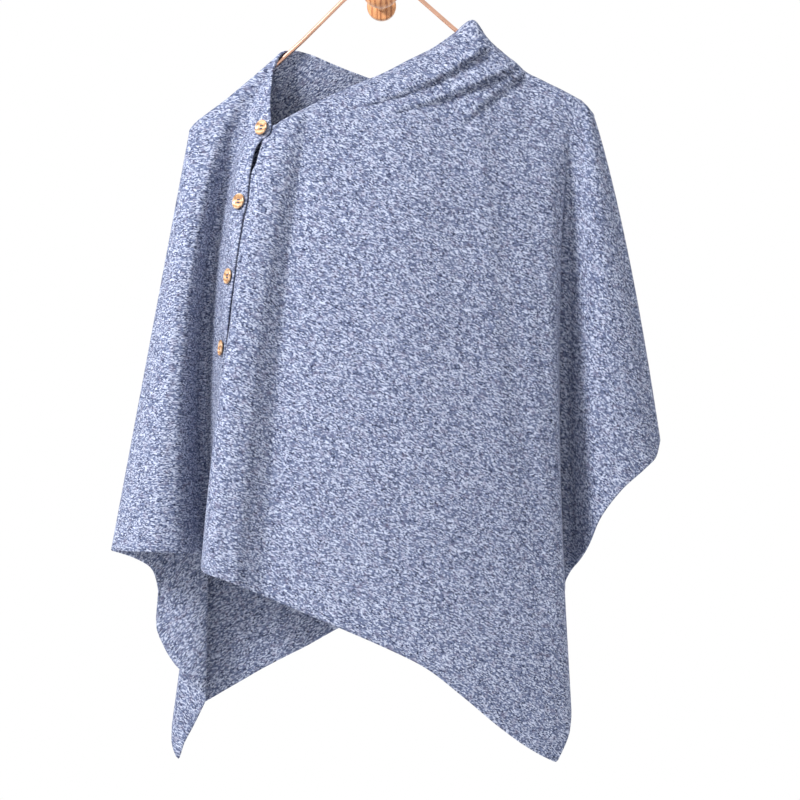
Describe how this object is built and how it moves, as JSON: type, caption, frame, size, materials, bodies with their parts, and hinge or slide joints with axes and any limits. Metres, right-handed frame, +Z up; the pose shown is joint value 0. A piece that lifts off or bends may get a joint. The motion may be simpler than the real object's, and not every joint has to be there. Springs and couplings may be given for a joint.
{
  "type": "wrap cape on wire hanger",
  "caption": "Knitted one-piece wrap cape, buttoned down the left front, draped over a wire hanger that hangs from a wooden wall peg.",
  "frame": {"origin": "centre of the wooden peg's flat back face, where it meets the wall", "axes": "+Y into the wall, -Y towards the viewer of the cape's front, +X to the viewer's right, +Z up"},
  "size_m": [0.5507, 0.153, 0.7894],
  "materials": {
    "knit_front": "melange blue fine knit, matt",
    "knit_back": "melange blue fine knit, matt",
    "knit_left": "melange blue fine knit, matt",
    "button_shell": "polished golden brown with a paler rim",
    "copper_wire": "copper-coloured, satin",
    "peg_wood": "oiled warm brown"
  },
  "bodies": {
    "root": {"front": "knit_front", "back": "knit_back", "left_wrap": "knit_left", "button_1": "button_shell", "button_2": "button_shell", "button_3": "button_shell", "button_4": "button_shell", "hanger": "copper_wire", "peg": "peg_wood"}
  },
  "joints": []
}
